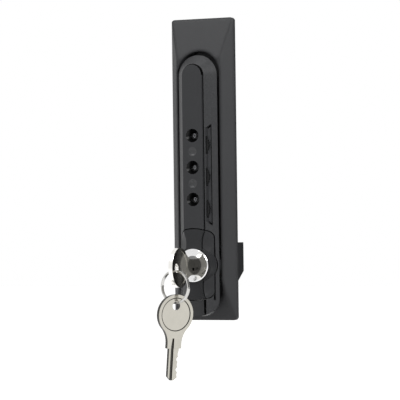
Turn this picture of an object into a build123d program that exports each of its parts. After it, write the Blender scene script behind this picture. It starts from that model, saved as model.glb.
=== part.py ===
from build123d import *
from math import atan2, cos, degrees, pi, radians, sin
import os

# Swing handle lock with a key cylinder and three number dials.
# X is to the right, +Z up, and the door plane lies at Y = 0 with the room in front of it at -Y.
# Most places are given as a depth, which is the distance in front of the door plane (depth = -Y).

# Escutcheon: a hipped plate with a long dish for the handle
plate_width = 40.0
plate_height = 180.0
plate_corner = 2.0
edge_height = 3.0
rim_height = 10.0
crest_width = 27.8
crest_height = 132.0
dish_half_width = 13.4
dish_arch_z = 56.6
dish_bottom_z = -80.0
dish_corner = 9.0
dish_floor = 3.5
gasket_inset = 1.3
gasket_width = 1.5
gasket_thick = 1.5
boss_z = 79.5
boss_radius = 4.2
boss_depth = 8.0
boss_thread_radius = 2.1
boss_thread_length = 10.0

# Swing axis, key cylinder and turret
axis_z = -57.0
neck_radius = 11.3
shaft_radius = 7.9
shaft_room = 1.8
square_side = 8.0
square_reach = 7.2
stud_thread_radius = 2.5
stud_thread_length = 12.0
running_gap = 0.05
snug_gap = 0.02
flange_thick = 0.4
end_play = 0.1
carrier_back = 10.8
carrier_front = 12.6
carrier_inset = 0.35

# Spindle housing behind the door
housing_width = 23.0
housing_top_z = -44.0
housing_bottom_z = -69.8
housing_depth = 28.8
housing_seat = 1.0
housing_seat_gap = 0.1
housing_cap_thick = 2.5
housing_chamfer_y = 12.0
housing_chamfer_z = 8.2
bush_radius = 9.4
bush_flange_radius = 11.2
ring_room = 2.5
ring_thick = 1.2
ring_bite = 0.7

# Handle: a long shell with sloping flanks
handle_half_width = 12.3
flat_half_width = 6.2
handle_arch_z = 55.3
handle_bottom_z = -87.2
handle_corner = 10.0
handle_back = 10.4
flank_start = 10.9
handle_front = 20.0
flat_step = 0.9
shell_wall = 1.8
front_wall = 3.0
cavity_bottom_z = -33.2
pin_z = -82.6
pin_depth = 14.0
pin_radius = 1.5
pin_length = 17.0
lug_radius = 3.0
lug_width = 11.2
lug_gap = 0.3
lip_radius = 5.0
cover_thick = 1.0

# Insert round the cylinder
insert_half_width = 10.2
insert_top_z = -35.6
insert_bottom_z = -77.3
insert_corner = 4.2
insert_top_bow = 22.0
insert_bottom_bow = 30.0
insert_gap = 0.6
bezel_base_radius = 11.6
bezel_face_radius = 11.0
bezel_gap = 0.3
web_radius = 13.0
web_back = 7.4

# Key cylinder
cylinder_face_radius = 9.75
cylinder_face = 21.8
cylinder_seat = 19.6
barrel_radius = 8.0
barrel_end = 9.0
plug_radius = 5.6
plug_face = 21.9
plug_end = -0.6
keyway_width = 2.2
keyway_height = 6.9
keyway_drop = 1.0
key_seat = 21.95
cam_low_radius = 7.0
cam_rise = 3.0
cam_back = 7.4
cam_front = 8.8
cam_cavity_radius = 10.2
bolt_width = 5.6
bolt_travel = 3.0
bolt_thick = 1.2
bolt_gap = 0.2
bolt_top_z = -36.1

# Number dials
dial_pitch = 18.87
dial_middle_z = -4.9
dial_x = 1.5
dial_radius = 7.5
dial_back = 14.3
dial_front = 16.5
dial_teeth = 30
dial_gap = 0.3
axle_radius = 1.0
code_ring_radius = 4.0
code_ring_wall = 0.9
code_gate = 2.4
window_rise = 5.65
window_radius = 4.0
window_throat = 2.0
dimple_radius = 2.7
dimple_depth = 0.8
pocket_wall_x = 7.3
pocket_edge_x = 9.9
pocket_floor = 13.6
pocket_top_z = 26.2
pocket_low_z = -33.6
pocket_corner = 3.5
pocket_skin = 1.2
bar_back = 11.5
bar_front = 12.5
bar_half_width = 2.9
bar_end_z = -35.0

# Keys and key ring
bow_radius = 11.6
bow_thick = 2.4
bow_rim = 1.9
bow_relief = 0.25
blade_thick = 2.0
blade_height = 6.5
blade_length = 18.6
neck_length = 8.2
neck_height = 9.4
shoulder_reach = 5.2
key_hole_radius = 2.55
key_hole_offset = 5.0
ring_radius = 9.4
ring_wire = 1.05
ring_sit = 1.5
ring_yaw = -12.0
spare_yaw = 56.0
spare_lean = 5.0

housing_split = housing_depth - housing_cap_thick
shaft_end = shaft_room - housing_split
bush_end = shaft_end + ring_room
square_end = -(housing_depth + square_reach)
shoulder = handle_front - flat_step
slope_run = handle_half_width - flat_half_width
slope_rise = shoulder - flank_start
slope_taper = degrees(atan2(slope_run, slope_rise))
dial_heights = [dial_middle_z + dial_pitch * step for step in (1, 0, -1)]
dial_names = ["dial_upper", "dial_middle", "dial_lower"]
cavity_front = handle_front - front_wall


def slab(plan, start, end):
    """A plan drawn in X and Z, made solid from one depth to another."""
    return extrude(Plane.XZ.offset(start) * plan, end - start)


def rod(radius, start, end, x=0.0, z=axis_z):
    """A round bar along the depth."""
    return slab(Pos(x, z) * Circle(radius), start, end)


def block(x0, x1, z0, z1, start, end):
    """A box between two X values, two heights and two depths."""
    return slab(Pos((x0 + x1) / 2, (z0 + z1) / 2) * Rectangle(x1 - x0, z1 - z0), start, end)


def cone(radius, top_radius, start, end, x=0.0, z=axis_z):
    """A round taper along the depth."""
    place = Plane.XZ.offset(start) * Pos(x, z, (end - start) / 2)
    return place * Cone(radius, top_radius, end - start)


def cross_rod(radius, length, depth, z):
    """A round bar along X."""
    return Pos(0, -depth, z) * Rot(0, 90, 0) * Cylinder(radius, length)


def arched_plan(half, arch_z, bottom_z, corner=0.0):
    """A long plan with a round top and a straight bottom."""
    plan = Pos(0, (arch_z + bottom_z) / 2) * Rectangle(2 * half, arch_z - bottom_z)
    plan += Pos(0, arch_z) * Circle(half)
    if corner:
        plan = fillet(plan.vertices().sort_by(Axis.Y)[:2], corner)
    return plan


def insert_plan(grow=0.0):
    """The insert's outline: a rounded rectangle with bowed ends."""
    middle = (insert_top_z + insert_bottom_z) / 2
    plan = Pos(0, middle) * Rectangle(2 * insert_half_width, insert_top_z - insert_bottom_z)
    plan &= Pos(0, insert_top_z - insert_top_bow) * Circle(insert_top_bow)
    plan &= Pos(0, insert_bottom_z + insert_bottom_bow) * Circle(insert_bottom_bow)
    plan = fillet(plan.vertices(), insert_corner)
    return offset(plan, grow) if grow else plan


def sloped_body(half, arch_z, start, end, bottom_z=-120.0):
    """A long solid whose flanks lean in at the handle's slope."""
    plan = arched_plan(half, arch_z, bottom_z)
    return extrude(Plane.XZ.offset(start) * plan, end - start, taper=slope_taper)


def handle_form():
    """The handle's whole outer shape, before it is hollowed and opened."""
    plan = arched_plan(handle_half_width, handle_arch_z, handle_bottom_z, handle_corner)
    flanks = sloped_body(handle_half_width, handle_arch_z, flank_start, shoulder)
    body = slab(plan, handle_back, flank_start) + (slab(plan, flank_start, shoulder) & flanks)
    return body + slab(arched_plan(flat_half_width, handle_arch_z, handle_bottom_z, handle_corner / 4), shoulder, handle_front)


def escutcheon():
    outer = RectangleRounded(plate_width, plate_height, plate_corner)
    body = slab(outer, 0, rim_height)
    body &= extrude(Plane.XY * hip_profile(plate_width, crest_width), plate_height, both=True)
    body &= extrude(Plane.YZ * Rot(0, 0, -90) * hip_profile(plate_height, crest_height), plate_width, both=True)
    for z in (boss_z, -boss_z):
        body += rod(boss_radius, -boss_depth, edge_height, 0, z)
    body -= slab(arched_plan(dish_half_width, dish_arch_z, dish_bottom_z, dish_corner), dish_floor, rim_height + 1)
    body -= rod(bush_radius + snug_gap, -1, dish_floor + 1)
    body -= slab(housing_plan(housing_seat_gap), 0, housing_seat)
    for z in (boss_z, -boss_z):
        body -= rod(boss_thread_radius, -boss_depth, boss_thread_length - boss_depth, 0, z)
    return body - gasket_solid()


def hip_profile(base, crest):
    """The plate's cut: upright edges, then slopes up to the crest, with its height along -Y."""
    low, high = base / 2, crest / 2
    points = [(-low, 0), (-low, -edge_height), (-high, -rim_height), (high, -rim_height), (low, -edge_height), (low, 0)]
    return Polygon(*points, align=None)


def gasket_solid():
    outer = RectangleRounded(plate_width - 2 * gasket_inset, plate_height - 2 * gasket_inset, plate_corner)
    return slab(outer - offset(outer, -gasket_width), 0, gasket_thick)


def housing_plan(grow=0.0):
    """The spindle housing's outline, which is also its seat in the escutcheon's back."""
    middle = (housing_top_z + housing_bottom_z) / 2
    return Pos(0, middle) * Rectangle(housing_width + 2 * grow, housing_top_z - housing_bottom_z + 2 * grow)


def housing_profile():
    """The spindle housing's side view, extruded across its width."""
    back = housing_depth
    points = [
        (-housing_seat, housing_top_z),
        (back, housing_top_z),
        (back, housing_bottom_z + housing_chamfer_z),
        (back - housing_chamfer_y, housing_bottom_z),
        (-housing_seat, housing_bottom_z),
    ]
    return extrude(Plane.YZ * Polygon(*points, align=None), housing_width / 2, both=True)


def spindle_housing():
    body = housing_profile() & slab(housing_plan(1), -housing_split, housing_seat)
    return body - rod(bush_radius + snug_gap, -housing_split - 1, housing_seat + 1)


def housing_cap():
    body = housing_profile() & slab(housing_plan(1), -housing_depth, -housing_split)
    return body - rod(square_side * 0.75, -housing_depth - 1, 0)


def spindle_bush():
    flange = rod(bush_flange_radius, dish_floor, dish_floor + flange_thick)
    return flange + rod(bush_radius, bush_end, dish_floor) - rod(shaft_radius + running_gap, -60, 60)


def retaining_ring():
    front = bush_end - end_play
    ring = rod(bush_radius - 0.3, front - ring_thick, front)
    ring -= rod(shaft_radius - ring_bite + snug_gap, -60, 60)
    return ring - block(-2, 2, axis_z, axis_z + 20, -60, 60)


def turret_hub():
    neck_foot = dish_floor + flange_thick + end_play
    groove = bush_end - end_play
    square = Pos(0, axis_z) * Rectangle(square_side, square_side)
    body = rod(neck_radius, neck_foot, carrier_back) + rod(shaft_radius, shaft_end, neck_foot)
    body += slab(square, square_end, shaft_end)
    body -= rod(barrel_radius + running_gap, barrel_end, carrier_front + 1)
    body -= rod(cam_cavity_radius, cam_back - 0.2, barrel_end)
    body -= rod(plug_radius + running_gap, plug_end - 0.4, barrel_end)
    body -= rod(shaft_radius + 1, groove - ring_thick, groove) - rod(shaft_radius - ring_bite, -60, 60)
    body -= rod(stud_thread_radius, square_end, square_end + stud_thread_length)
    return body - bolt_slot()


def bolt_slot():
    """The slot beside the barrel that the lock bolt slides in."""
    half = bolt_width / 2 + bolt_gap
    return block(-half, half, axis_z + cam_low_radius, axis_z + 13, cam_back - bolt_gap, carrier_front)


def carrier_plate():
    """The plate on the turret's neck that holds the insert and, on its lug, the handle's pin."""
    body = slab(insert_plan(-carrier_inset), carrier_back, carrier_front) + rod(neck_radius, carrier_back, carrier_front)
    body += block(-lug_width / 2, lug_width / 2, pin_z, insert_bottom_z + 3, carrier_back + 0.2, carrier_front)
    body += cross_rod(lug_radius, lug_width, pin_depth, pin_z)
    body -= rod(barrel_radius + running_gap, barrel_end, carrier_front + 1)
    return body - bolt_slot() - cross_rod(pin_radius + 0.08, 30, pin_depth, pin_z)


def scoop(side, z, half_length, waist):
    """A scoop down the flank's slope, under a step that narrows the insert's raised flat."""
    radius = (half_length**2 + waist**2) / (2 * waist)
    plan = Pos(side * (flat_half_width - waist + radius), z) * Circle(radius)
    run = insert_half_width - (flat_half_width - waist)
    drop = (insert_half_width - flat_half_width) * slope_rise / slope_run
    down = Vector(side * run, drop, 0)
    slope = extrude(Plane.XZ.offset(shoulder) * plan, 1.3 * down.length, dir=down)
    return slope + slab(plan, shoulder, handle_front + 1)


def insert_cap():
    body = handle_form() & slab(insert_plan(), carrier_front, handle_front)
    for side in (-1, 1):
        body -= scoop(side, -44.5, 7.0, 1.5)
        body -= scoop(side, -69.8, 6.2, 1.2)
    body += cone(bezel_base_radius, bezel_face_radius, carrier_front, handle_front)
    body -= rod(barrel_radius + running_gap, carrier_front - 1, handle_front)
    body -= rod(cylinder_face_radius + 0.3, cylinder_seat, handle_front + 1)
    half = bolt_width / 2 + bolt_gap
    body -= block(-half, half, axis_z + barrel_radius, insert_top_z + 1, 12, 14.05)
    return body


def cylinder_barrel():
    body = rod(barrel_radius, barrel_end, cylinder_seat) + rod(cylinder_face_radius, cylinder_seat, cylinder_face)
    body = chamfer(body.edges().group_by(Axis.Y)[0], 0.5)
    return body - rod(plug_radius + running_gap, 0, 40)


def cylinder_plug():
    body = rod(plug_radius, plug_end, plug_face)
    middle = axis_z - keyway_drop
    return body - block(-keyway_width / 2, keyway_width / 2, middle - keyway_height / 2, middle + keyway_height / 2, -5, 30)


def lock_cam():
    """A snail cam: its edge rises evenly over a quarter turn."""
    steps = 12
    rise = [(cam_low_radius + cam_rise * (1 - i / steps), 90 * i / steps) for i in range(steps + 1)]
    points = [(r * cos(radians(a)), r * sin(radians(a))) for r, a in rise]
    high = cam_low_radius + cam_rise
    with BuildSketch() as plan:
        with BuildLine():
            Spline(*points)
            low_end = (-cam_low_radius * cos(radians(30)), -cam_low_radius * sin(radians(30)))
            CenterArc((0, 0), cam_low_radius, 90, 120)
            high_end = (high * cos(radians(-30)), high * sin(radians(-30)))
            Line(low_end, high_end)
            CenterArc((0, 0), high, -30, 30)
        make_face()
    return slab(Pos(0, axis_z) * plan.sketch, cam_back, cam_front) - rod(plug_radius + snug_gap, 0, 40)


def lock_bolt():
    foot_z = axis_z + cam_low_radius + 0.35
    leg_z = axis_z + barrel_radius + 0.35
    half = bolt_width / 2
    front = carrier_front + 0.1 + bolt_thick
    body = block(-1, 1, foot_z, leg_z + 0.5, cam_back, cam_front)
    body += block(-half, half, leg_z, leg_z + 1.3, cam_back, front)
    body += block(-half, half, leg_z, bolt_top_z, front - bolt_thick, front)
    return body


def handle_shell():
    shell = handle_form()
    inner = handle_half_width - shell_wall
    cavity = sloped_body(inner, handle_arch_z, handle_back, cavity_front)
    cavity &= block(-20, 20, cavity_bottom_z, 90, handle_back - 1, cavity_front)
    cavity -= block(pocket_wall_x - pocket_skin, 20, pocket_low_z - 3, pocket_top_z + 2, pocket_floor - pocket_skin, 30)
    for x, z in cover_post_places():
        cavity -= rod(2.3, handle_back + cover_thick, cavity_front, x, z)
    shell -= cavity
    shell -= slab(insert_plan(insert_gap), 0, 30)
    shell -= rod(bezel_base_radius + bezel_gap, 0, 30)
    shell -= pocket()
    for z in dial_heights:
        shell -= rod(dial_radius + dial_gap, pocket_floor, dial_front + dial_gap, dial_x, z)
        shell -= rod(axle_radius + snug_gap, dial_front, cavity_front + 0.7, dial_x, z)
        shell -= cone(window_throat, window_radius, cavity_front + 0.5, handle_front, 0, z + window_rise)
        shell -= rod(window_throat, dial_front, cavity_front + 1, 0, z + window_rise)
    for z in dial_heights[1:]:
        shell -= dimple(z + window_rise + dial_pitch / 2)
    shell -= bottom_hollow()
    relief = cross_rod(11, 2 * (insert_half_width + insert_gap), pin_depth, pin_z)
    relief -= cross_rod(lip_radius, 40, pin_depth, pin_z)
    shell -= relief & block(-20, 20, pin_z, insert_bottom_z + insert_corner + 1, 0, pin_depth)
    half = bolt_width / 2 + 2 * bolt_gap
    shell -= block(-half, half, insert_top_z, cavity_bottom_z + 1, 0, 14.1)
    shell -= Pos(-5, 0, 0) * cross_rod(pin_radius + snug_gap, pin_length + 10.2, pin_depth, pin_z)
    shell += side_webs()
    return shell


def pocket():
    """The finger pocket in the right flank, where the dials' edges stand out."""
    width = pocket_edge_x - pocket_wall_x
    middle = (pocket_top_z + pocket_low_z) / 2
    plan = Pos(pocket_wall_x + width / 2, middle) * Rectangle(width, pocket_top_z - pocket_low_z)
    return slab(chamfer(plan.vertices().sort_by(Axis.X)[:2], pocket_corner * 0.6), pocket_floor, 30)


def dimple(z):
    radius = (dimple_radius**2 + dimple_depth**2) / (2 * dimple_depth)
    return Pos(0, -(handle_front + radius - dimple_depth), z) * Sphere(radius)


def bottom_hollow():
    """The space in the handle's lower end for the turret's lug."""
    half = lug_width / 2 + 0.9
    reach = lug_radius + lug_gap
    space = block(-half, half, pin_z - reach, pin_z + reach, 0, pin_depth + reach + 0.6)
    return space + block(-half, half, pin_z, insert_bottom_z, 0, carrier_front + 0.4)


def side_webs():
    """Two short webs that carry the thin flanks past the bezel, low in the dish."""
    web = rod(web_radius, web_back, handle_back + 0.2)
    web -= rod(bezel_base_radius + 2 * bezel_gap - 0.1, 0, 30)
    return web & (block(9, 20, axis_z - 5, axis_z + 6.5, 0, 30) + block(-20, -9, axis_z - 5, axis_z + 6.5, 0, 30))


def cover_post_places():
    return [(0, 56.0), (-7.2, 31.0), (-7.2, -29.4)]


def back_cover():
    plan = arched_plan(handle_half_width - shell_wall - 0.9, handle_arch_z, cavity_bottom_z + 0.2)
    body = slab(plan, handle_back, handle_back + cover_thick)
    for z in dial_heights:
        body -= rod(axle_radius + snug_gap, handle_back + 0.4, 20, dial_x, z)
    return body


def dial_axles():
    return [rod(axle_radius, handle_back + 0.4, cavity_front + 0.6, dial_x, z) for z in dial_heights]


def dial_wheel(z):
    """A serrated wheel with a hub, turning on its axle."""
    tooth_depth = 0.35
    points = []
    for i in range(2 * dial_teeth):
        radius = dial_radius - tooth_depth * (i % 2)
        angle = pi * i / dial_teeth
        points.append((radius * cos(angle), radius * sin(angle)))
    wheel = slab(Pos(dial_x, z) * Polygon(*points, align=None), dial_back, dial_front)
    wheel += rod(1.5, dial_back - 1.5, dial_back, dial_x, z)
    return wheel - rod(axle_radius + running_gap, 0, 30, dial_x, z)


def code_ring(z):
    """A ring behind the wheel with one gate, which the bar's claw passes through."""
    ring = rod(code_ring_radius, bar_front + 0.2, dial_back, dial_x, z)
    ring -= rod(code_ring_radius - code_ring_wall, 0, 30, dial_x, z)
    return ring - block(dial_x - code_gate / 2, dial_x + code_gate / 2, z, z + 9, 0, 30)


def locking_bar():
    top = dial_heights[0] + 6
    body = block(dial_x - bar_half_width, dial_x + bar_half_width, cavity_bottom_z + 0.4, top, bar_back, bar_front)
    body += block(-2.6, 2.6, bar_end_z, cavity_bottom_z + 3, bar_back, bar_front)
    for z in dial_heights:
        body -= block(dial_x - 1.2, dial_x + 1.2, z - bolt_travel - 1.2, z + 1.2, 0, 30)
        body += block(dial_x - 0.8, dial_x + 0.8, z + 1.7, z + 2.7, bar_front, dial_back - 0.3)
    return body


def key():
    """A key in its own place: bow centre at the origin, blade down, thickness along Y."""
    bow = Circle(bow_radius) + shoulder_plan()
    body = extrude(Plane.XZ * bow, bow_thick / 2, both=True)
    panel = Circle(bow_radius - bow_rim) - Pos(0, -1.7 * bow_radius) * Rectangle(40, bow_radius * 1.7)
    body += extrude(Plane.XZ * blade_plan(), blade_thick / 2, both=True)
    groove_top = -(bow_radius + neck_length * 0.4)
    groove_low = -(bow_radius + neck_length + blade_length)
    groove = Pos(-0.9, (groove_top + groove_low) / 2) * Rectangle(1.2, groove_top - groove_low + 2)
    for side in (-1, 1):
        body -= Pos(0, side * bow_thick / 2, 0) * extrude(Plane.XZ * panel, bow_relief, both=True)
        body -= Pos(0, side * bow_thick / 2, 0) * extrude(Plane.XZ * groove, 0.65, both=True)
    return body - extrude(Plane.XZ * (Pos(0, key_hole_offset) * Circle(key_hole_radius)), 5, both=True)


def shoulder_plan():
    """The neck below the bow: it narrows in a hollow curve, then runs straight to the shoulder."""
    half = neck_height / 2
    start = bow_radius * sin(radians(48))
    low = bow_radius * cos(radians(48))
    with BuildSketch() as plan:
        with BuildLine():
            right = Line((half, -bow_radius - shoulder_reach), (half, -bow_radius - neck_length))
            bottom = Line(right @ 1, (-half, -bow_radius - neck_length))
            left = Line(bottom @ 1, (-half, -bow_radius - shoulder_reach))
            left_hollow = TangentArc(left @ 1, (-start, -low), tangent=(0, 1))
            top = Line(left_hollow @ 1, (start, -low))
            TangentArc(right @ 0, top @ 1, tangent=(0, 1))
        make_face()
    return plan.sketch


def blade_plan():
    """The blade's outline, with its cuts along one edge and a pointed tip."""
    top = -(bow_radius + neck_length)
    half = blade_height / 2
    tip = top - blade_length
    cuts = [0.6, 1.8, 1.1, 2.2, 0.9]
    pitch = (blade_length - 3.6) / len(cuts)
    points = [(half, top + 2), (-half, top + 2), (-half, top - 1.2)]
    for i, cut in enumerate(cuts):
        z = top - 1.8 - pitch * i
        points += [(cut - half, z - 0.35 * pitch), (cut - half, z - 0.65 * pitch), (0.3 - half, z - pitch)]
    points += [(-0.6, tip), (1.2, tip), (half, tip + 2.2)]
    return Polygon(*points, align=None)


def seated_key():
    """The key in the cylinder: blade to the back, bow upright."""
    centre = key_seat + neck_length + bow_radius
    return Pos(0, -centre, axis_z - keyway_drop) * Rot(90, 0, 0) * Rot(0, 0, 90) * key()


def ring_top():
    """Where the ring's wire lies in the seated key's hole."""
    y = -(key_seat + neck_length + bow_radius + key_hole_offset)
    return Vector(0, y, axis_z - keyway_drop - ring_sit)


def key_ring():
    """Two flat-sided turns of wire side by side, with a groove between them."""
    half = ring_wire / 2
    edge = 0.25
    plan = Polygon((-half, edge), (edge - half, 0), (half - edge, 0), (half, edge), (half, ring_wire - edge),
                   (half - edge, ring_wire), (edge - half, ring_wire), (-half, ring_wire - edge), align=None)
    section = Pos(ring_radius, 0) * plan + Pos(ring_radius, -ring_wire) * plan
    ring = revolve(Plane.XZ * section, Axis.Z)
    centre = ring_top() - Vector(0, 0, ring_radius)
    return Pos(centre.X, centre.Y, centre.Z) * Rot(0, 0, ring_yaw) * Rot(90, 0, 0) * ring


def spare_key():
    top = ring_top()
    hole_z = top.Z - 2 * ring_radius - ring_sit
    hang = Pos(top.X, top.Y, hole_z) * Rot(0, 0, ring_yaw) * Rot(0, spare_lean, 0) * Rot(0, 0, spare_yaw - ring_yaw)
    return hang * Pos(0, 0, -key_hole_offset) * key()


def write(name, *solids):
    """Writes one node, as one solid or a group of separate ones."""
    shape = solids[0] if len(solids) == 1 else Compound(children=list(solids))
    export_step(shape, f"parts/{name}.step")


def main():
    os.makedirs("parts", exist_ok=True)
    write("escutcheon", escutcheon())
    write("door_gasket", gasket_solid())
    write("spindle_housing", spindle_housing())
    write("housing_cap", housing_cap())
    write("spindle_bush", spindle_bush())
    write("turret_hub", turret_hub())
    write("carrier_plate", carrier_plate())
    write("retaining_ring", retaining_ring())
    write("insert_cap", insert_cap())
    write("cylinder_barrel", cylinder_barrel())
    write("cylinder_plug", cylinder_plug())
    write("lock_cam", lock_cam())
    write("lock_bolt", lock_bolt())
    write("handle_shell", handle_shell())
    write("back_cover", back_cover())
    write("pivot_pin", cross_rod(pin_radius, pin_length, pin_depth, pin_z))
    write("dial_axles", *dial_axles())
    for name, z in zip(dial_names, dial_heights):
        write(name + "_wheel", dial_wheel(z))
        write(name + "_code_ring", code_ring(z))
    write("locking_bar", locking_bar())
    write("seated_key", seated_key())
    write("key_ring", key_ring())
    write("spare_key", spare_key())


main()
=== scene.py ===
import bpy, bmesh
from math import cos, pi, radians, sin
from mathutils import Matrix, Vector


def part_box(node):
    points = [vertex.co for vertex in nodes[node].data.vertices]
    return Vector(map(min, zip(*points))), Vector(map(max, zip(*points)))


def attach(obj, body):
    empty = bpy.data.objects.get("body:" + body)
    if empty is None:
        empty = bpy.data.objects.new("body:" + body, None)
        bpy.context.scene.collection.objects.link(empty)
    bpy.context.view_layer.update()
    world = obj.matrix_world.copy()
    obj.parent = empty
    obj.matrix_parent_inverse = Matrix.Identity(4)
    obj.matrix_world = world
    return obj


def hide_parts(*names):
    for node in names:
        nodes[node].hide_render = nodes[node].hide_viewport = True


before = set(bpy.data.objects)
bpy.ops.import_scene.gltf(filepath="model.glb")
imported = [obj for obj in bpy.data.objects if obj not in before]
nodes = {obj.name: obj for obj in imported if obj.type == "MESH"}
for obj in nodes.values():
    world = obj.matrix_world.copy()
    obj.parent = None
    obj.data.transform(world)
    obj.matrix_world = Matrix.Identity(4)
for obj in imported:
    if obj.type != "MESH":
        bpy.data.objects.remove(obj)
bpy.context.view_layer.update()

shown = dict(nodes)  # what is seen for each node: the node itself, or its carved copy
dials = ("upper", "middle", "lower")


# a socket is used like a number here, and each sum adds its node
class Wire:
    def __init__(self, bench, socket):
        self.bench, self.socket = bench, socket

    def maths(self, operation, first, second):
        return self.bench.add("ShaderNodeMath", {"operation": operation}, {0: first, 1: second})

    def __add__(self, other):
        return self.maths("ADD", self, other)

    def __radd__(self, other):
        return self.maths("ADD", other, self)

    def __sub__(self, other):
        return self.maths("SUBTRACT", self, other)

    def __rsub__(self, other):
        return self.maths("SUBTRACT", other, self)

    def __mul__(self, other):
        return self.maths("MULTIPLY", self, other)

    def __rmul__(self, other):
        return self.maths("MULTIPLY", other, self)


# every other node, of a finish or of the room's light, comes from add
class NodeBench:
    def __init__(self, tree):
        self.tree = tree

    def add(self, kind, settings, values, output=0):
        node = self.tree.nodes.new(kind)
        for key, value in settings.items():
            setattr(node, key, value)
        for key, value in values.items():
            if isinstance(value, Wire):
                self.tree.links.new(value.socket, node.inputs[key])
            else:
                node.inputs[key].default_value = value
        if node.outputs:
            return Wire(self, node.outputs[output])

    def seen(self):
        # 1 for what is seen straight, in a reflection or through something clear
        kinds = ("Is Camera Ray", "Is Glossy Ray", "Is Transmission Ray")
        straight, mirrored, through = [self.add("ShaderNodeLightPath", {}, {}, kind) for kind in kinds]
        return straight + mirrored + through


class Finish(NodeBench):
    def __init__(self, name, **fixed):
        self.material = bpy.data.materials.new(name)
        self.material.use_nodes = True
        super().__init__(self.material.node_tree)
        self.shader = self.tree.nodes["Principled BSDF"]
        for socket, value in fixed.items():
            self.shader.inputs[socket.replace("_", " ")].default_value = value

    def place(self, stretch=(1, 1, 1), spot=(0, 0, 0)):
        at = self.add("ShaderNodeTexCoord", {}, {}, "Object")
        moved = self.add("ShaderNodeVectorMath", {"operation": "SUBTRACT"}, {0: at, 1: spot})
        return self.add("ShaderNodeVectorMath", {"operation": "MULTIPLY"}, {0: moved, 1: stretch})

    def noise(self, size, detail=2.0, stretch=(1, 1, 1)):
        facts = {"Vector": self.place(stretch), "Scale": 1 / size, "Detail": detail}
        return self.add("ShaderNodeTexNoise", {}, facts)

    def blend(self, amount, low, high):
        return self.add("ShaderNodeMix", {"data_type": "RGBA"}, {0: amount, 6: low, 7: high}, 2)

    def spread(self, value, low, high):
        # 0 at low and 1 at high
        facts = {"Value": value, "From Min": low, "From Max": high}
        return self.add("ShaderNodeMapRange", {"clamp": True}, facts)

    def crease(self, reach, low=0.1, high=0.45):
        # 1 in the open, falling to 0 deep in a piece's own grooves and holes; it masks the painted shade
        # there
        settings = {"only_local": True, "samples": 8}
        near = self.add("ShaderNodeAmbientOcclusion", settings, {"Distance": reach}, "AO")
        return self.spread(near, low, high)

    def feed(self, socket, wire):
        self.tree.links.new(wire.socket, self.shader.inputs[socket])

    def bump(self, height, strength, depth, soft=0.0):
        facts = {"Strength": strength, "Distance": depth, "Height": height}
        if soft:
            facts["Normal"] = self.add("ShaderNodeBevel", {"samples": 8}, {"Radius": soft})
        self.feed("Normal", self.add("ShaderNodeBump", {}, facts))


def shade(level, warmth=0.0):
    redShare = 0.35
    return (level * (1 + redShare * warmth), level, level * (1 - warmth), 1)


# moulded plastic: sizes in metres or against the grain, then shares of its tone, of its painted shade in
# creases and of its roughness
plastic = {
    "bend": 1.46, "fineDetail": 3.0, "broadSize": 0.02, "streakSize": 0.006, "streakStretch": (1, 1, 0.2),
    "sandSize": 2.4, "dotSize": 0.6, "dotEdge": (0.34, 0.1), "dotShare": 0.4, "dotBright": 2.4,
    "fineTone": 0.2, "broadTone": 0.4, "streakTone": 0.2, "sandTone": 0.2, "dark": 0.7, "bright": 1.3,
    "crease": 0.1, "fineRough": 0.16, "broadRough": 0.1, "strength": 0.35, "cool": -0.06, "dotCool": -0.05,
}


def mouldedPlastic(name, level, rough, depth, grain=0.0006, gloss=0.3, reach=0.004, grit=0.2, soft=0.0):
    look = plastic
    made = Finish(name, IOR=look["bend"], Specular_IOR_Level=gloss)
    fine = made.noise(grain, look["fineDetail"])
    broad = made.noise(look["broadSize"])
    streak = made.noise(look["streakSize"], stretch=look["streakStretch"])
    sand = made.noise(grain * look["sandSize"])
    facts = {"Vector": made.place(), "Scale": look["dotSize"] / grain}
    speck = made.spread(made.add("ShaderNodeTexVoronoi", {}, facts, "Distance"), *look["dotEdge"])
    tone = fine * look["fineTone"] + broad * look["broadTone"] + streak * look["streakTone"]
    tone = tone + sand * grit + (look["sandTone"] - grit) * 0.5  # keeps the middle tone where it is
    dark, bright = shade(level * look["dark"], look["cool"]), shade(level * look["bright"], look["cool"])
    bare = made.blend(tone, dark, bright)
    dots = shade(level * look["dotBright"], look["dotCool"])
    flecked = made.blend(speck * grit * look["dotShare"], bare, dots)
    # painted shade: the base colour darkens in the piece's own grooves, steps and holes
    made.feed("Base Color", made.blend(made.crease(reach), shade(level * look["crease"]), flecked))
    made.feed("Roughness", rough + (fine - 0.5) * look["fineRough"] + (broad - 0.5) * look["broadRough"])
    made.bump(fine, look["strength"], depth, soft)
    return made.material


# metal turned on a lathe: rings round the lock's swing axis
turned = {
    "axis": (0, 0, -0.057), "acrossAxis": (1, 0, 1), "ringsPerMetre": 9000, "ringDetail": 2.0,
    "cloudSize": 0.004, "cloudDetail": 3.0, "dark": 0.9, "crease": 0.05, "creaseReach": 0.001,
    "creaseEdge": (0.2, 0.6), "ringRough": 0.08, "cloudRough": 0.06, "depth": 0.00001,
}


def turnedMetal(name, level, warmth, rough, scratch):
    look = turned
    made = Finish(name, Metallic=1.0)
    off = made.place(look["acrossAxis"], look["axis"])
    away = made.add("ShaderNodeVectorMath", {"operation": "LENGTH"}, {0: off}, "Value")
    facts = {"W": away * look["ringsPerMetre"], "Detail": look["ringDetail"]}
    rings = made.add("ShaderNodeTexNoise", {"noise_dimensions": "1D"}, facts)
    cloud = made.noise(look["cloudSize"], look["cloudDetail"])
    bare = made.blend(cloud, shade(level * look["dark"], warmth), shade(level, warmth))
    inOpen = made.crease(look["creaseReach"], *look["creaseEdge"])
    # painted shade: the base colour darkens in the piece's own creases and holes
    made.feed("Base Color", made.blend(inOpen, shade(level * look["crease"]), bare))
    made.feed("Roughness", rough + (rings - 0.5) * look["ringRough"] + (cloud - 0.5) * look["cloudRough"])
    made.bump(rings, scratch, look["depth"])
    return made.material


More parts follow.
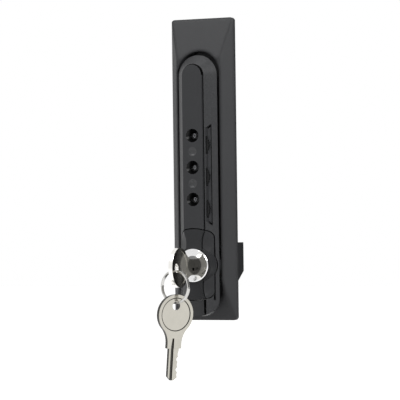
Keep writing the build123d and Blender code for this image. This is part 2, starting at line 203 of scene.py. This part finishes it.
# plated or cast metal: a fine grain under a broad cloud
plated = {
    "cloudSize": 0.005, "detail": 3.0, "dark": 0.88, "bright": 1.04, "crease": 0.08, "creaseEdge": (0.3, 0.8),
    "fineRough": 0.08, "cloudRough": 0.06, "strength": 0.12, "depth": 0.00002,
}


def platedMetal(name, level, warmth, rough, grain, stretch=(1, 1, 1), reach=0.0007):
    look = plated
    made = Finish(name, Metallic=1.0)
    fine = made.noise(grain, look["detail"], stretch)
    cloud = made.noise(look["cloudSize"], look["detail"])
    bare = made.blend(cloud, shade(level * look["dark"], warmth), shade(level * look["bright"], warmth))
    inOpen = made.crease(reach, *look["creaseEdge"])
    # painted shade: the base colour darkens in the piece's own creases and holes
    made.feed("Base Color", made.blend(inOpen, shade(level * look["crease"], warmth), bare))
    made.feed("Roughness", rough + (fine - 0.5) * look["fineRough"] + (cloud - 0.5) * look["cloudRough"])
    made.bump(fine, look["strength"], look["depth"])
    return made.material


plastics = {
    "plateNylon": {"level": 0.045, "rough": 0.5, "depth": 0.00006, "gloss": 0.35, "reach": 0.006,
                   "grit": 0.12, "soft": 0.003},
    "handleNylon": {"level": 0.044, "rough": 0.48, "depth": 0.00016, "reach": 0.0025, "grit": 1.0},
    "flatNylon": {"level": 0.05, "rough": 0.46, "depth": 0.00005, "reach": 0.0025, "grit": 0.1},
    # painted light: the finger pocket's floor is a lighter nylon set against the shade in the pocket
    "pocketLitNylon": {"level": 0.12, "rough": 0.5, "depth": 0.00005, "reach": 0.0008, "grit": 0.3},
    "dimpleNylon": {"level": 0.055, "rough": 0.3, "depth": 0.00004, "gloss": 0.5, "reach": 0.001},
    # painted shade: near-black plastic for the window holes and the grooves' walls and floors, where shade
    # falls
    "paintedShadeBlack": {"level": 0.003, "rough": 0.22, "depth": 0.00001, "gloss": 0.2},
    "insertNylon": {"level": 0.039, "rough": 0.42, "depth": 0.00004, "gloss": 0.22, "reach": 0.003},
    "housingPaint": {"level": 0.028, "rough": 0.5, "depth": 0.00006, "grain": 0.0009, "gloss": 0.12},
    "dialPlastic": {"level": 0.01, "rough": 0.35, "depth": 0.00002, "grain": 0.0004, "reach": 0.001},
    "sealRubber": {"level": 0.02, "rough": 0.75, "depth": 0.0001, "grain": 0.0008},
    "numberWhite": {"level": 0.82, "rough": 0.5, "depth": 0.00001, "grain": 0.0003, "reach": 0.0001},
}
turnedMetals = {
    "cylinderChrome": {"level": 0.8, "warmth": 0.0, "rough": 0.1, "scratch": 0.1},
    "plugSteel": {"level": 0.2, "warmth": 0.0, "rough": 0.2, "scratch": 0.1},
    "turnedBrass": {"level": 0.6, "warmth": 0.5, "rough": 0.3, "scratch": 0.15},
}
alongZ = (1, 1, 0.25)
platedMetals = {
    "keyNickel": {"level": 0.43, "warmth": 0.11, "rough": 0.12, "grain": 0.0005, "stretch": alongZ,
                  "reach": 0.0011},
    # painted shade: near-black nickel for the loose key's cut edge and face grooves
    "shadeNickel": {"level": 0.05, "warmth": 0.11, "rough": 0.25, "grain": 0.0005, "stretch": alongZ},
    # painted highlight: bright nickel for the seated key's cut edge
    "highlightNickel": {"level": 0.9, "warmth": 0.04, "rough": 0.2, "grain": 0.0005, "stretch": alongZ},
    "ringNickel": {"level": 0.58, "warmth": 0.03, "rough": 0.14, "grain": 0.0004},
    "turretZinc": {"level": 0.42, "warmth": 0.0, "rough": 0.42, "grain": 0.0008},
    "platedSteel": {"level": 0.55, "warmth": 0.01, "rough": 0.3, "grain": 0.0006},
    "blackSteel": {"level": 0.04, "warmth": 0.0, "rough": 0.45, "grain": 0.0006},
}
finishes = {name: mouldedPlastic(name, **facts) for name, facts in plastics.items()}
finishes.update((name, turnedMetal(name, **facts)) for name, facts in turnedMetals.items())
finishes.update((name, platedMetal(name, **facts)) for name, facts in platedMetals.items())
print("finishes made:", len(finishes))


def stand(name, data):
    made = bpy.data.objects.new(name, data)
    bpy.context.collection.objects.link(made)
    return made


def asMesh(name, drawn):
    data = bpy.data.meshes.new(name)
    drawn.to_mesh(data)
    drawn.free()
    return data


def workedMesh(piece):
    # the piece's mesh as its modifiers leave it
    return bpy.data.meshes.new_from_object(piece.evaluated_get(bpy.context.evaluated_depsgraph_get()))


def closeRow(drawn, first, second):
    # faces between two loops of the same length
    for i in range(len(first)):
        j = (i + 1) % len(first)
        drawn.faces.new((first[i], first[j], second[j], second[i]))


# every piece's edges: a distance in metres, and angles in degrees
edges = {"join": 0.000002, "segments": 2, "eased": 32, "sharp": 30, "weight": 100}


def joinCorners(piece):
    piece.modifiers.new("join", "WELD").merge_threshold = edges["join"]


def cutterFrom(drawn):
    bmesh.ops.recalc_face_normals(drawn, faces=drawn.faces)
    return stand("cutter", asMesh("cutter", drawn))


def carve(name, body, cutters, added=None):
    # the carved piece stands for the plain one; the added cutter is joined to it instead of cut away
    piece = stand(name + "_carved", nodes[name].data.copy())
    piece.matrix_world = nodes[name].matrix_world
    joinCorners(piece)
    for cutter in cutters:
        cut = piece.modifiers.new("groove", "BOOLEAN")
        cut.operation = "UNION" if cutter is added else "DIFFERENCE"
        cut.object, cut.solver = cutter, "EXACT"
    bpy.context.view_layer.update()
    done = workedMesh(piece)
    piece.modifiers.clear()
    piece.data = done
    if "custom_normal" in done.attributes:
        done.attributes.remove(done.attributes["custom_normal"])
    done.set_sharp_from_angle(angle=radians(edges["sharp"]))
    for cutter in cutters:
        bpy.data.objects.remove(cutter)
    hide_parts(name)
    shown[name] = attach(piece, body)
    print(name, "carved,", len(done.polygons), "faces")


# fine grooves left by the mould, in millimetres: beside the raised flat, and round the finger pocket's floor
grooves = {
    "flatHalf": 6.18, "archZ": 55.3, "archStep": 6, "lowZ": -90, "wide": 0.7, "floor": 17.8, "top": 21.0,
    "narrow": [(-44.5, 7.0, 1.5), (-69.8, 6.2, 1.2)],  # middle height, half length and depth of each waist
    "insertTop": -34, "insertStep": 0.5, "insertSteps": 90, "insertShare": 0.8, "insertRise": 0.2,
    "pocket": [(7.2, 24.2), (9.9, 26.4), (9.9, -33.8), (7.2, -31.6)],
    "pocketWide": 0.7, "pocketFloor": 12.8, "pocketTop": 13.8,
}


def ribbon(path, wide, low, high):
    # a strip with a square section to the right of a path drawn in X and Z, between two depths
    drawn = bmesh.new()
    points = [Vector(point) for point in path]
    steps = [(b - a).normalized() for a, b in zip(points, points[1:])]
    rights = [Vector((step.y, -step.x)) for step in steps]
    rows = []
    for i, near in enumerate(points):
        before, after = rights[max(i - 1, 0)], rights[min(i, len(rights) - 1)]
        far = near + (before + after) * wide / (1 + before.dot(after))
        corners = [(near, -low), (far, -low), (far, -high), (near, -high)]
        rows.append([drawn.verts.new(Vector((at.x, y, at.y)) / 1000) for at, y in corners])
    for first, second in zip(rows, rows[1:]):
        closeRow(drawn, first, second)
    drawn.faces.new(rows[0])
    drawn.faces.new(rows[-1])
    return cutterFrom(drawn)


def flatEdge(z):
    # half the raised flat's width at a height, where it narrows beside the bezel
    for middle, half, waist in grooves["narrow"]:
        if abs(z - middle) < half:
            radius = (half ** 2 + waist ** 2) / (2 * waist)
            return grooves["flatHalf"] - waist + radius - (radius ** 2 - (z - middle) ** 2) ** 0.5
    return grooves["flatHalf"]


def carveGrooves():
    flat, arch, low = grooves["flatHalf"], grooves["archZ"], grooves["lowZ"]
    turn = [radians(a) for a in range(180, -1, -grooves["archStep"])]
    path = [(-flat, low)] + [(flat * cos(a), arch + flat * sin(a)) for a in turn] + [(flat, low)]
    outline = ribbon(path[::-1], grooves["wide"], grooves["floor"], grooves["top"])
    pocket = ribbon(grooves["pocket"], grooves["pocketWide"], grooves["pocketFloor"], grooves["pocketTop"])
    carve("handle_shell", "handle", [outline, pocket])
    heights = [grooves["insertTop"] - grooves["insertStep"] * i for i in range(grooves["insertSteps"])]
    wide, floor = grooves["wide"] * grooves["insertShare"], grooves["floor"] + grooves["insertRise"]
    right = ribbon([(flatEdge(z), z) for z in heights[::-1]], wide, floor, grooves["top"])
    left = ribbon([(-flatEdge(z), z) for z in heights], wide, floor, grooves["top"])
    carve("insert_cap", "turret", [right, left])


# a key in its own frame, in millimetres: bow centre at 0, blade down, thickness along Y
keyBlade = {
    "top": -19.8, "tip": -38.4, "half": 3.255, "thick": 1.005, "stub": 0.6, "overlap": 1, "clear": (4, 2),
    "cuts": [0.5, 1.2, 0.7, 1.3, 0.6], "ridge": 0.3, "shoulder": 1.2, "firstCut": 1.8, "uncut": 3.6,
    "cutFlat": (0.35, 0.65), "point": (0.6, -1.2), "pointRise": 2.2,
    "groove": [(-1.505, -13.9), (-0.295, -13.9), (-0.295, -39.4), (-2.1, -39.4), (-2.1, -18.5)],
    "grooveFloor": 0.545, "panelGroove": (9.25, 9.8), "panelDepth": (0.78, 1.3), "panelSteps": 96,
}
# where each key is held, in metres, how it is turned there, and how far below that its bow centre is
keyPlaces = {
    "seated_key": {"body": "key", "at": (0, -0.04175, -0.058), "turns": [("X", 90), ("Z", 90)], "drop": 0},
    "spare_key": {"body": "spare", "at": (0, -0.04675, -0.0798), "turns": [("Z", -12), ("Y", 5), ("Z", 68)],
                  "drop": 0.005},
}


def prism(outline, low, high, place):
    # an outline drawn in X and Z, between two places along Y, set down in a piece's own frame
    drawn = bmesh.new()
    ends = []
    for y in (low, high):
        ends.append([drawn.verts.new(place @ (Vector((x, y, z)) / 1000)) for x, z in outline])
    closeRow(drawn, *ends)
    for end in ends:
        drawn.faces.new(end)
    return cutterFrom(drawn)


def tube(inner, outer, low, high, place):
    # a flat ring about the middle of a piece's own frame
    drawn = bmesh.new()
    rows = []
    for i in range(keyBlade["panelSteps"]):
        angle = radians(360 * i / keyBlade["panelSteps"])
        corners = [(inner, low), (outer, low), (outer, high), (inner, high)]
        spots = [Vector((r * cos(angle), y, r * sin(angle))) / 1000 for r, y in corners]
        rows.append([drawn.verts.new(place @ spot) for spot in spots])
    for first, second in zip(rows, rows[1:] + rows[:1]):
        closeRow(drawn, first, second)
    return cutterFrom(drawn)


def bladeOutline():
    top, tip, half = keyBlade["top"], keyBlade["tip"], keyBlade["half"]
    start, end = keyBlade["cutFlat"]
    pitch = (top - tip - keyBlade["uncut"]) / len(keyBlade["cuts"])
    hidden = top + keyBlade["overlap"]
    points = [(-half, hidden), (half, hidden), (half, top - keyBlade["shoulder"])]
    for i, cut in enumerate(keyBlade["cuts"]):
        z = top - keyBlade["firstCut"] - pitch * i
        points += [(half - cut, z - start * pitch), (half - cut, z - end * pitch)]
        points.append((half - keyBlade["ridge"], z - pitch))
    right, left = keyBlade["point"]
    return points + [(right, tip), (left, tip), (-half, tip + keyBlade["pointRise"])]


def recutKey(name):
    # the blade's cuts are on the other edge from its groove; only the loose key shows its panel's groove
    facts = keyPlaces[name]
    place = Matrix.Translation(facts["at"])
    for axis, angle in facts["turns"]:
        place = place @ Matrix.Rotation(radians(angle), 4, axis)
    place = place @ Matrix.Translation((0, 0, -facts["drop"]))
    wide, deep = keyBlade["clear"]
    low, tip = keyBlade["top"] - keyBlade["stub"], keyBlade["tip"] - keyBlade["overlap"]
    old = prism([(-wide, low), (wide, low), (wide, tip), (-wide, tip)], -deep, deep, place)
    blade = prism(bladeOutline(), -keyBlade["thick"], keyBlade["thick"], place)
    groove, floor = keyBlade["groove"], keyBlade["grooveFloor"]
    cutters = [old, blade, prism(groove, floor, deep, place), prism(groove, -deep, -floor, place)]
    if name == "spare_key":
        inner, outer = keyBlade["panelGroove"]
        sunk, clear = keyBlade["panelDepth"]
        cutters += [tube(inner, outer, sunk, clear, place), tube(inner, outer, -clear, -sunk, place)]
    carve(name, facts["body"], cutters, blade)


carveGrooves()
for name in keyPlaces:
    recutKey(name)


# the lock's own pieces: finish, how far edges are eased in millimetres, and the recorded slot
piecesOfLock = {
    "escutcheon": ("plateNylon", 0.35, "plate_nylon"),
    "handle_shell": ("handleNylon", 0.3, "handle_nylon"),
    "insert_cap": ("insertNylon", 0.22, "handle_nylon"),
    "back_cover": ("handleNylon", 0.12, "handle_nylon"),
    "door_gasket": ("sealRubber", 0.0, "seal"),
    "spindle_housing": ("housingPaint", 0.5, "housing_zinc"),
    "housing_cap": ("housingPaint", 0.3, "housing_zinc"),
    "spindle_bush": ("turnedBrass", 0.0, "bush_brass"),
    "turret_hub": ("turretZinc", 0.15, "turret_zinc"),
    "carrier_plate": ("turretZinc", 0.12, "turret_zinc"),
    "retaining_ring": ("platedSteel", 0.0, "screw_steel"),
    "cylinder_barrel": ("cylinderChrome", 0.0, "cylinder_chrome"),
    "cylinder_plug": ("plugSteel", 0.1, "cylinder_chrome"),
    "lock_cam": ("platedSteel", 0.0, "screw_steel"),
    "lock_bolt": ("platedSteel", 0.1, "screw_steel"),
    "pivot_pin": ("platedSteel", 0.1, "screw_steel"),
    "dial_axles": ("platedSteel", 0.0, "screw_steel"),
    "locking_bar": ("platedSteel", 0.1, "screw_steel"),
    "seated_key": ("keyNickel", 0.18, "key_nickel"),
    "spare_key": ("keyNickel", 0.18, "key_nickel"),
    "key_ring": ("ringNickel", 0.0, "ring_nickel"),
}
for which in dials:
    piecesOfLock["dial_" + which + "_wheel"] = ("dialPlastic", 0.12, "dial_plastic")
    piecesOfLock["dial_" + which + "_code_ring"] = ("turnedBrass", 0.0, "code_brass")


def dress(name, finish, ease):
    piece = shown[name]
    piece.data.materials.clear()
    piece.data.materials.append(finishes[finish])
    if ease:
        joinCorners(piece)
        bevel = piece.modifiers.new("ease", "BEVEL")
        bevel.width, bevel.segments = ease / 1000, edges["segments"]
        bevel.limit_method, bevel.angle_limit = "ANGLE", radians(edges["eased"])
        even = piece.modifiers.new("even", "WEIGHTED_NORMAL")
        even.mode, even.weight, even.keep_sharp = "FACE_AREA", edges["weight"], True


for name, (finish, ease, recordSlot) in piecesOfLock.items():
    dress(name, finish, ease)
print("pieces dressed:", len(piecesOfLock))


# places on the handle that have a finish of their own, in metres: painted shade black in the windows, grooves
# and channel, and a lighter painted light floor in the pocket; Y is negative towards the room
handleSpots = {
    "finishes": ("paintedShadeBlack", "dimpleNylon", "flatNylon", "pocketLitNylon"),
    "windowRise": 0.00565, "windowReach": 0.0041, "windowBack": -0.0165,
    "dimpleReach": 0.0028, "dimpleBack": -0.0185,
    "front": -0.01998, "flat": -0.0196, "flatHalf": 0.0062, "archZ": 0.0553,
    "grooveFloor": -0.0178, "grooveWide": 0.0009, "grooveSlack": 0.0001,
    "pocketFloor": (-0.0139, -0.0134), "pocketSide": 0.0068, "channelFloor": -0.0128, "channelSlack": 0.0002,
    "level": 0.00003, "wall": 0.1, "facing": -0.9,
}


def inGroove(x, y, z, wall):
    # a wall or the floor of the groove beside the raised flat
    facts = handleSpots
    aside = abs(x) if z < facts["archZ"] else Vector((x, z - facts["archZ"])).length
    beside = facts["flatHalf"] - facts["grooveSlack"] < aside < facts["flatHalf"] + facts["grooveWide"]
    sunk = wall and y < facts["grooveFloor"] or abs(y - facts["grooveFloor"]) < facts["level"]
    return beside and y > facts["flat"] and sunk


def inChannel(x, y, wall):
    # a wall or the floor of the channel round the finger pocket
    facts = handleSpots
    side = wall and facts["pocketFloor"][1] - facts["channelSlack"] < y < facts["channelFloor"]
    return x > facts["pocketSide"] and (side or abs(y - facts["channelFloor"]) < facts["level"])


def nearOne(x, z, heights, reach):
    # whether a place is near one of the round spots on the handle's middle line
    return any(Vector((x, z - at)).length < reach for at in heights)


def finishHandleSpots():
    facts = handleSpots
    shell = shown["handle_shell"]
    boxes = [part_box("dial_" + which + "_wheel") for which in dials]
    windows = [(low[2] + high[2]) / 2 + facts["windowRise"] for low, high in boxes]
    dimples = [(upper + lower) / 2 for upper, lower in zip(windows, windows[1:])]
    for finish in facts["finishes"]:
        shell.data.materials.append(finishes[finish])
    black, dimple, flat, pocket = range(1, 1 + len(facts["finishes"]))
    for face in shell.data.polygons:
        x, y, z = shell.matrix_world @ face.center
        wall = abs(face.normal.y) < facts["wall"]
        onPocketFloor = facts["pocketFloor"][0] < y < facts["pocketFloor"][1] and x > facts["pocketSide"]
        # the groove and channel faces are painted black as shade
        if inGroove(x, y, z, wall) or inChannel(x, y, wall):
            face.material_index = black
        elif y < facts["flat"] and abs(x) < facts["flatHalf"]:
            face.material_index = flat
        # the pocket floor takes the lighter nylon as painted light
        elif onPocketFloor and face.normal.y < facts["facing"]:
            face.material_index = pocket
        if y < facts["front"]:
            continue
        # the window holes' walls are painted black as shade
        if y < facts["windowBack"] and nearOne(x, z, windows, facts["windowReach"]):
            face.material_index = black
        if y < facts["dimpleBack"] and nearOne(x, z, dimples, facts["dimpleReach"]):
            face.material_index = dimple


# how square or flat a key's face is to its side, and how near the key's middle a groove lies, in metres
keySpots = {"square": 0.5, "flat": 0.99, "sunk": 0.0009}


def finishKeyEdge(name, finish, grooved):
    # a key's cut edge, and the grooves in a loose key's faces, take their own painted light: a painted
    # highlight on the seated key's edge, painted shade on the loose key's edge and grooves
    key = shown[name].data
    key.materials.append(finishes[finish])
    side = max(key.polygons, key=lambda face: face.area).normal.copy()
    depths = [corner.co.dot(side) for corner in key.vertices]
    middle = (max(depths) + min(depths)) / 2
    for face in key.polygons:
        flat = abs(face.normal.dot(side))
        sunk = flat > keySpots["flat"] and abs(face.center.dot(side) - middle) < keySpots["sunk"]
        if flat < keySpots["square"] or (grooved and sunk):
            face.material_index = 1


finishHandleSpots()
# painted highlight on the seated key's cut edge; painted shade on the loose key's cut edge and face grooves
finishKeyEdge("seated_key", "highlightNickel", False)
finishKeyEdge("spare_key", "shadeNickel", True)
print("windows, grooves and key edges finished")


# numbers round each dial, seen one at a time through its window; sizes in metres, pitch in degrees
numbers = {
    "count": 10, "height": 0.0025, "fontShare": 1.35, "bold": 0.00006, "thick": 0.00003, "smoothness": 3,
    "radius": 0.00585, "lift": 0.00004, "rest": (-1.5, 5.65), "pitch": 23,
}


def digitMesh(digit):
    text = bpy.data.curves.new("digit", "FONT")
    text.body, text.size = str(digit), numbers["height"] * numbers["fontShare"]
    text.align_x, text.align_y = "CENTER", "CENTER"
    text.extrude, text.offset = numbers["thick"], numbers["bold"]
    text.resolution_u = numbers["smoothness"]
    made = stand("digit", text)
    mesh = workedMesh(made)
    bpy.data.objects.remove(made)
    return mesh


def dialNumbers(which):
    low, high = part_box("dial_" + which + "_wheel")
    middle = (Vector(low) + Vector(high)) / 2
    onFace = Matrix.Translation((middle.x, low[1] - numbers["lift"], middle.z))
    out = Vector(numbers["rest"]).normalized()
    away = Matrix.Translation((out.x * numbers["radius"], 0, out.y * numbers["radius"]))
    joined = bmesh.new()
    for digit in range(numbers["count"]):
        mesh = digitMesh(digit)
        lean = Matrix.Rotation(-radians(numbers["pitch"]) * digit, 4, "Y")
        mesh.transform(onFace @ lean @ away @ Matrix.Rotation(pi / 2, 4, "X"))
        joined.from_mesh(mesh)
    whole = asMesh("numbers_" + which, joined)
    whole.materials.append(finishes["numberWhite"])
    piece = stand("numbers_" + which, whole)
    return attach(piece, which + "_dial")


for which in dials:
    dialNumbers(which)
print("dial numbers set")


# screw heads: where each stands, in metres; outward is 1 towards the door's inside and -1 towards the room
screws = {
    "dish_screw": {"at": [(-0.0088, -0.0464), (0.0088, -0.0464), (-0.0088, -0.0674), (0.0088, -0.0674)],
                   "y": -0.0035, "outward": -1, "radius": 0.0021, "height": 0.0007,
                   "body": "housing", "finish": "blackSteel"},
    "cap_screw": {"at": [(-0.0085, -0.0475), (0.0085, -0.0475)],
                  "y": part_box("housing_cap")[1][1], "outward": 1, "radius": 0.0021, "height": 0.0007,
                  "body": "housing", "finish": "platedSteel"},
    "cover_screw": {"at": [(0.0, 0.056), (-0.0072, 0.031), (-0.0072, -0.0294)],
                    "y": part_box("back_cover")[1][1], "outward": 1, "radius": 0.0017, "height": 0.0002,
                    "body": "handle", "finish": "platedSteel"},
}
# a head's profile and its cross, as shares of its radius and height
headForm = {
    "steps": 28, "profile": [(1.0, 0.0), (1.0, 0.35), (0.93, 0.62), (0.75, 0.86), (0.5, 0.97), (0.3, 1.0)],
    "crossReach": 0.58, "crossHalf": 0.13, "crossDepth": 0.6,
}


def domedHead(name, facts):
    radius, rise = facts["radius"], facts["outward"] * facts["height"]
    turn = [2 * pi * i / headForm["steps"] for i in range(headForm["steps"])]
    drawn = bmesh.new()
    rings = []
    for across, up in headForm["profile"]:
        spots = [(radius * across * cos(a), rise * up, radius * across * sin(a)) for a in turn]
        rings.append([drawn.verts.new(spot) for spot in spots])
    for lower, upper in zip(rings, rings[1:]):
        closeRow(drawn, lower, upper)
    drawn.faces.new(rings[-1])
    drawn.faces.new(rings[0])
    bmesh.ops.recalc_face_normals(drawn, faces=drawn.faces)
    for face in drawn.faces:
        face.smooth = len(face.verts) == 4
    return asMesh(name, drawn)


def crossCutter(facts):
    reach, half = facts["radius"] * headForm["crossReach"], facts["radius"] * headForm["crossHalf"]
    deep = facts["height"] * headForm["crossDepth"]
    middle = Matrix.Translation((0, facts["outward"] * facts["height"], 0))
    drawn = bmesh.new()
    for long, wide in ((reach, half), (half, reach)):
        size = Matrix.Diagonal((2 * long, 2 * deep, 2 * wide, 1))
        bmesh.ops.create_cube(drawn, size=1, matrix=middle @ size)
    return stand("cutter", asMesh("cutter", drawn))


def screwHead(name, body, spot, facts):
    # a low domed head with a sunk cross
    piece = stand(name, domedHead(name, facts))
    piece.data.materials.append(finishes[facts["finish"]])
    cutter = crossCutter(facts)
    piece.location = cutter.location = spot
    cut = piece.modifiers.new("cross", "BOOLEAN")
    cut.operation, cut.object, cut.solver, cut.use_self = "DIFFERENCE", cutter, "EXACT", True
    bpy.context.view_layer.update()
    done = workedMesh(piece)
    piece.modifiers.clear()
    piece.data = done
    bpy.data.objects.remove(cutter)
    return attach(piece, body)


for kind, facts in screws.items():
    for i, (x, z) in enumerate(facts["at"]):
        screwHead("%s_%d" % (kind, i), facts["body"], (x, facts["y"], z), facts)
print("screw heads set")


room = {
    "floorZ": -0.16, "reach": 3.0, "floorShade": 0.55, "floorRough": 0.9, "floorGlow": 0.93,
    "white": (1, 1, 1, 1), "black": (0, 0, 0, 1), "skySeen": 1.0, "skyLight": 0.15,
}


def floorFinish():
    # seen straight or in a reflection it is plain white; it still takes the lock's shadow
    pale = Finish("paleFloor", Base_Color=shade(room["floorShade"]), Roughness=room["floorRough"],
                  Emission_Strength=room["floorGlow"])
    pale.feed("Emission Color", pale.blend(pale.seen(), room["black"], room["white"]))
    return pale.material


def makeFloor():
    drawn = bmesh.new()
    reach = room["reach"]
    corners = [(-reach, -reach), (reach, -reach), (reach, reach), (-reach, reach)]
    drawn.faces.new([drawn.verts.new((x, y, room["floorZ"])) for x, y in corners])
    data = asMesh("floor", drawn)
    data.materials.append(floorFinish())
    floor = stand("floor", data)


def makeSky():
    world = bpy.data.worlds.new("softRoom")
    bpy.context.scene.world = world
    world.use_nodes = True
    sky = NodeBench(world.node_tree)
    sky.tree.nodes.clear()
    bright = sky.add("ShaderNodeBackground", {}, {"Color": room["white"], "Strength": room["skySeen"]})
    soft = sky.add("ShaderNodeBackground", {}, {"Color": room["white"], "Strength": room["skyLight"]})
    both = sky.add("ShaderNodeMixShader", {}, {0: sky.seen(), 1: soft, 2: bright})
    sky.add("ShaderNodeOutputWorld", {}, {"Surface": both})


lamps = {
    "key": {"at": (-0.22, -0.36, 0.5), "size": 0.28, "power": 1.2},
    "fill": {"at": (0.6, -0.3, 0.42), "size": 0.4, "power": 3.1},
    "top": {"at": (0.1, 0.1, 0.9), "size": 0.5, "power": 1.2},
}
lampAim = (0, 0, -0.01)


def makeLamps():
    for name, facts in lamps.items():
        data = bpy.data.lights.new(name, "AREA")
        data.shape, data.size, data.energy = "SQUARE", facts["size"], facts["power"]
        lamp = stand(name, data)
        lamp.location = facts["at"]
        lamp.rotation_euler = (Vector(lampAim) - Vector(facts["at"])).to_track_quat("-Z", "Y").to_euler()


# upright cards round the lock, in metres and degrees, that show only as reflections in its metal
cards = {
    "greyCard": {"across": 0.62, "high": 1.2, "distance": 1.0, "azimuth": 27, "glow": 0.42},
    "blackCard": {"across": 0.5, "high": 0.7, "distance": 0.5, "azimuth": 152, "glow": 0.0},
}
cardPaint = {"level": 0.01, "rough": 1.0}


def makeCards():
    for name, facts in cards.items():
        drawn = bmesh.new()
        bmesh.ops.create_grid(drawn, x_segments=1, y_segments=1, size=0.5)
        card = stand(name, asMesh(name, drawn))
        paint = Finish(name, Base_Color=shade(cardPaint["level"]), Roughness=cardPaint["rough"],
                       Emission_Color=room["white"], Emission_Strength=facts["glow"])
        card.data.materials.append(paint.material)
        angle = radians(facts["azimuth"])
        card.location = (sin(angle) * facts["distance"], -cos(angle) * facts["distance"], 0)
        card.scale = (facts["across"], facts["high"], 1)
        card.rotation_euler = (pi / 2, 0, angle)
        card.visible_camera = card.visible_diffuse = card.visible_shadow = card.visible_transmission = False


eye = {"azimuth": 23.782, "elevation": -0.657, "roll": 0.751, "distance": 1.3483,
       "lens": 202.62, "sensor": 36.0, "target": (-0.00428, 0.0, -0.01826)}


def makeCamera():
    azimuth, elevation, roll = (radians(eye[k]) for k in ("azimuth", "elevation", "roll"))
    back = Vector((sin(azimuth) * cos(elevation), -cos(azimuth) * cos(elevation), sin(elevation)))
    right = Vector((cos(azimuth), sin(azimuth), 0))
    up = back.cross(right)
    across = right * cos(roll) - up * sin(roll)
    high = right * sin(roll) + up * cos(roll)
    data = bpy.data.cameras.new("eye")
    data.lens, data.sensor_width = eye["lens"], eye["sensor"]
    camera = stand("eye", data)
    turn = Matrix((across, high, back)).transposed().to_4x4()
    camera.matrix_world = Matrix.Translation(Vector(eye["target"]) + back * eye["distance"]) @ turn
    bpy.context.scene.camera = camera


makeFloor()
makeSky()
makeLamps()
makeCards()
makeCamera()
bpy.context.scene.view_settings.view_transform = "Standard"
print("floor, lamps, cards and camera set")
